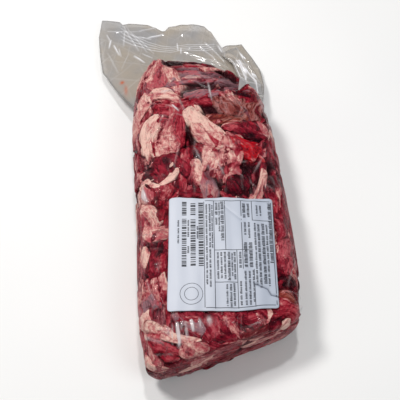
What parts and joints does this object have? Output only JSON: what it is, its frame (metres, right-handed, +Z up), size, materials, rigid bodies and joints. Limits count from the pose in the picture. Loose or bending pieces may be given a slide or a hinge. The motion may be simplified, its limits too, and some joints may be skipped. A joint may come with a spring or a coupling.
{
  "type": "vacuum pack of beef shank",
  "caption": "Clear vacuum bag packed tight with raw boneless shank pieces, lying flat, with a paper label on top and a loose flap of sealed film at one end.",
  "frame": {"origin": "on the ground, at the centre of the box round the bag and its flap", "axes": "+X across the bag to the right as the label faces up, +Y along the bag towards the flap, +Z up out of the labelled side"},
  "size_m": [0.191, 0.4626, 0.0649],
  "materials": {
    "meat": "raw red meat with cream fat and sinew under tight clear film, wet and glossy",
    "film": "thin clear plastic film, creased and glossy",
    "paper": "white label paper, slightly creased, satin",
    "print": "thermal print, dark grey lines and bars"
  },
  "bodies": {
    "root": {"bag": "meat", "label": "paper"}
  },
  "joints": []
}
